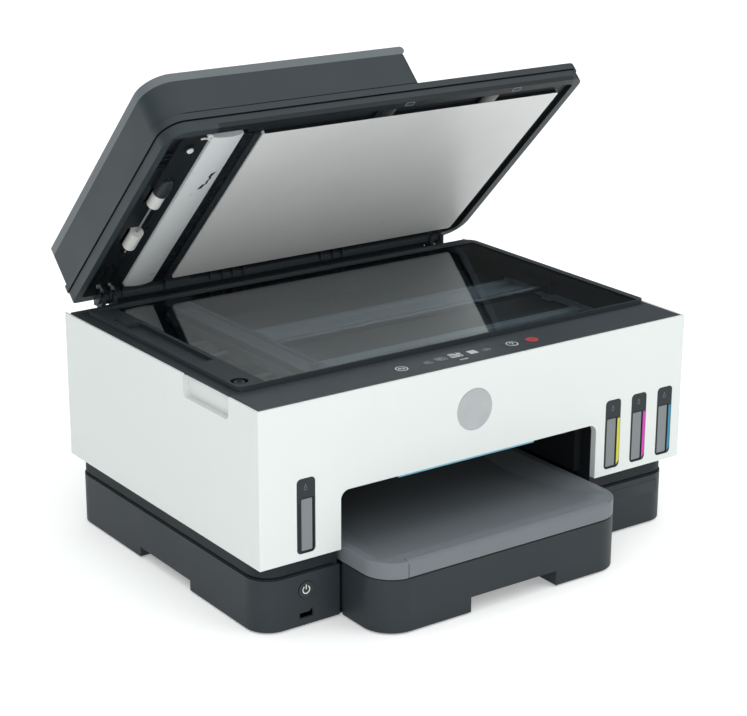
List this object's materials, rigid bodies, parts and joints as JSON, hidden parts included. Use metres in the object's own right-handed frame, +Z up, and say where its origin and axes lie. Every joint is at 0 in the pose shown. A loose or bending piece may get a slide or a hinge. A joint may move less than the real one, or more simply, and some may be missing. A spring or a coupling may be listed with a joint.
{
  "type": "inkjet printer",
  "caption": "All-in-one ink tank inkjet printer with open scanner lid, document feeder, front cassette and refillable tanks.",
  "frame": {"origin": "middle of the footprint's box at the level of the feet, with the lid open at rest", "axes": "+Z up, +X to the printer's right seen from the front, front towards -Y"},
  "size_m": [0.449, 0.4145, 0.4286],
  "materials": {
    "white_shell": "fine satin texture",
    "dark_case": "fine satin texture",
    "black_plastic": "matte",
    "grey_plastic": "fine satin texture",
    "pale_plastic": "satin",
    "panel_gloss": "satin gloss",
    "steel": "zinc plated",
    "rubber": "matte",
    "board": "solder mask",
    "glass": "polished",
    "light_bar": "frosted, lit",
    "black_ink": "translucent",
    "yellow_ink": "translucent",
    "magenta_ink": "translucent",
    "cyan_ink": "translucent",
    "yellow": "satin",
    "magenta": "satin",
    "cyan": "satin"
  },
  "bodies": {
    "printer_body": {"base_shell": "dark_case", "mid_frame": "black_plastic", "white_shell": "white_shell", "output_liner": "black_plastic", "light_bar": "light_bar", "ink_bezels": "dark_case", "black_ink_tank": "black_ink", "yellow_ink_tank": "yellow_ink", "magenta_ink_tank": "magenta_ink", "cyan_ink_tank": "cyan_ink", "rubber_feet": "rubber", "usb_ports": "steel", "power_inlet": "black_plastic", "main_board": "board", "power_supply": "black_plastic", "print_chassis": "steel", "carriage_rod": "steel", "platen": "black_plastic", "encoder_strip": "pale_plastic", "drive_belts": "rubber", "drive_motors": "steel", "service_station": "black_plastic", "rear_paper_guide": "black_plastic", "unit_hinge_brackets": "steel"},
    "power_button": {"power_button": "black_plastic"},
    "cassette": {"paper_cassette": "dark_case", "output_tray": "grey_plastic"},
    "left_width_guide": {"left_width_guide": "grey_plastic"},
    "right_width_guide": {"right_width_guide": "grey_plastic"},
    "guide_pinion": {"guide_pinion": "pale_plastic"},
    "length_guide": {"length_guide": "grey_plastic"},
    "tray_extender": {"tray_extender": "grey_plastic"},
    "feed_roller": {"feed_roller": "rubber"},
    "exit_roller": {"exit_roller": "rubber"},
    "pick_arm": {"pick_arm": "dark_case"},
    "pick_roller": {"pick_roller": "rubber"},
    "carriage": {"print_carriage": "black_plastic", "black_printhead": "dark_case", "colour_printhead": "dark_case"},
    "rear_door": {"rear_access_door": "black_plastic"},
    "black_cap": {"black_tank_cap": "black_plastic"},
    "yellow_cap": {"yellow_tank_cap": "yellow"},
    "magenta_cap": {"magenta_tank_cap": "magenta"},
    "cyan_cap": {"cyan_tank_cap": "cyan"},
    "scanner_unit": {"scanner_tub": "black_plastic", "scanner_bezel": "black_plastic", "scanner_glass": "glass", "control_panel": "panel_gloss", "scan_rod": "steel", "lid_hinge_pins": "steel"},
    "scan_head": {"scan_head": "dark_case"},
    "lid": {"lid_frame": "dark_case", "lid_pad": "pale_plastic", "backing_strip": "pale_plastic", "feeder_housing": "dark_case"},
    "feeder_idlers": {"feeder_idlers": "pale_plastic"},
    "feeder_pick_roller": {"feeder_pick_roller": "rubber"},
    "feeder_tray": {"feeder_tray": "grey_plastic"},
    "feeder_guide_front": {"feeder_guide_front": "black_plastic"},
    "feeder_guide_rear": {"feeder_guide_rear": "black_plastic"}
  },
  "joints": [
    {"name": "power_button_press", "type": "slide", "parent": "printer_body", "child": "power_button", "axis": [0, 1, 0], "range_m": [0, 0.0012], "stiffness_N_per_m": 600},
    {"name": "cassette_slide", "type": "slide", "parent": "printer_body", "child": "cassette", "axis": [0, -1, 0], "range_m": [0, 0.24]},
    {"name": "left_guide_slide", "type": "slide", "parent": "cassette", "child": "left_width_guide", "axis": [1, 0, 0], "range_m": [0, 0.045]},
    {"name": "right_guide_slide", "type": "slide", "parent": "cassette", "child": "right_width_guide", "axis": [-1, 0, 0], "range_m": [0, 0.045]},
    {"name": "pinion_spin", "type": "hinge", "parent": "cassette", "child": "guide_pinion", "pos_m": [-0.01375, 0.00575, 0.008], "axis": [0, 0, -1], "range_deg": [0, 230]},
    {"name": "length_guide_slide", "type": "slide", "parent": "cassette", "child": "length_guide", "axis": [0, 1, 0], "range_m": [0, 0.125]},
    {"name": "extender_slide", "type": "slide", "parent": "cassette", "child": "tray_extender", "axis": [0, -1, 0], "range_m": [0, 0.09]},
    {"name": "feed_roller_spin", "type": "hinge", "parent": "printer_body", "child": "feed_roller", "pos_m": [0, 0.09176, 0.088], "axis": [1, 0, 0], "continuous": true},
    {"name": "exit_roller_spin", "type": "hinge", "parent": "printer_body", "child": "exit_roller", "pos_m": [0, 0.00376, 0.083], "axis": [1, 0, 0], "continuous": true},
    {"name": "pick_arm_swing", "type": "hinge", "parent": "printer_body", "child": "pick_arm", "pos_m": [-0.01375, 0.10776, 0.071], "axis": [-1, 0, 0], "range_deg": [0, 25]},
    {"name": "pick_roller_spin", "type": "hinge", "parent": "pick_arm", "child": "pick_roller", "pos_m": [-0.01375, 0.07175, 0.021], "axis": [1, 0, 0], "continuous": true},
    {"name": "carriage_slide", "type": "slide", "parent": "printer_body", "child": "carriage", "axis": [-1, 0, 0], "range_m": [0, 0.3]},
    {"name": "rear_door_swing", "type": "hinge", "parent": "printer_body", "child": "rear_door", "pos_m": [-0.01375, 0.16875, 0.07], "axis": [-1, 0, 0], "range_deg": [0, 75]},
    {"name": "black_cap_swing", "type": "hinge", "parent": "printer_body", "child": "black_cap", "pos_m": [-0.18175, -0.07824, 0.1335], "axis": [-1, 0, 0], "range_deg": [0, 95]},
    {"name": "yellow_cap_swing", "type": "hinge", "parent": "printer_body", "child": "yellow_cap", "pos_m": [0.14415, -0.07824, 0.1335], "axis": [-1, 0, 0], "range_deg": [0, 95]},
    {"name": "magenta_cap_swing", "type": "hinge", "parent": "printer_body", "child": "magenta_cap", "pos_m": [0.174, -0.07824, 0.1335], "axis": [-1, 0, 0], "range_deg": [0, 95]},
    {"name": "cyan_cap_swing", "type": "hinge", "parent": "printer_body", "child": "cyan_cap", "pos_m": [0.20535, -0.07824, 0.1335], "axis": [-1, 0, 0], "range_deg": [0, 95]},
    {"name": "scanner_unit_lift", "type": "hinge", "parent": "printer_body", "child": "scanner_unit", "pos_m": [0, 0.15976, 0.184], "axis": [-1, 0, 0], "range_deg": [0, 38]},
    {"name": "scan_head_slide", "type": "slide", "parent": "scanner_unit", "child": "scan_head", "axis": [1, 0, 0], "range_m": [-0.02, 0.3]},
    {"name": "lid_swing", "type": "hinge", "parent": "scanner_unit", "child": "lid", "pos_m": [0, 0.16736, 0.2021], "axis": [-1, 0, 0], "range_deg": [-45.3, 20]},
    {"name": "idler_spin", "type": "hinge", "parent": "lid", "child": "feeder_idlers", "pos_m": [-0.186, 0.08341, 0.29489], "axis": [0, 0.7034, -0.7108], "continuous": true},
    {"name": "feeder_pick_spin", "type": "hinge", "parent": "lid", "child": "feeder_pick_roller", "pos_m": [-0.112, 0.10008, 0.31842], "axis": [0, 0.7034, -0.7108], "continuous": true},
    {"name": "feeder_tray_swing", "type": "hinge", "parent": "lid", "child": "feeder_tray", "pos_m": [0.0366, 0.11281, 0.33242], "axis": [0, 0.7034, -0.7108], "range_deg": [0, 150]},
    {"name": "front_guide_slide", "type": "slide", "parent": "feeder_tray", "child": "feeder_guide_front", "axis": [0, 0.7034, -0.7108], "range_m": [0, 0.05]},
    {"name": "rear_guide_slide", "type": "slide", "parent": "feeder_tray", "child": "feeder_guide_rear", "axis": [0, -0.7034, 0.7108], "range_m": [0, 0.05]}
  ],
  "couplings": [
    {"joint": "right_guide_slide", "follows": "left_guide_slide", "ratio": 1},
    {"joint": "pinion_spin", "follows": "left_guide_slide", "rad_per_m": 88.889},
    {"joint": "exit_roller_spin", "follows": "feed_roller_spin", "ratio": 1},
    {"joint": "pick_roller_spin", "follows": "feed_roller_spin", "ratio": 0.7},
    {"joint": "rear_guide_slide", "follows": "front_guide_slide", "ratio": 1}
  ]
}
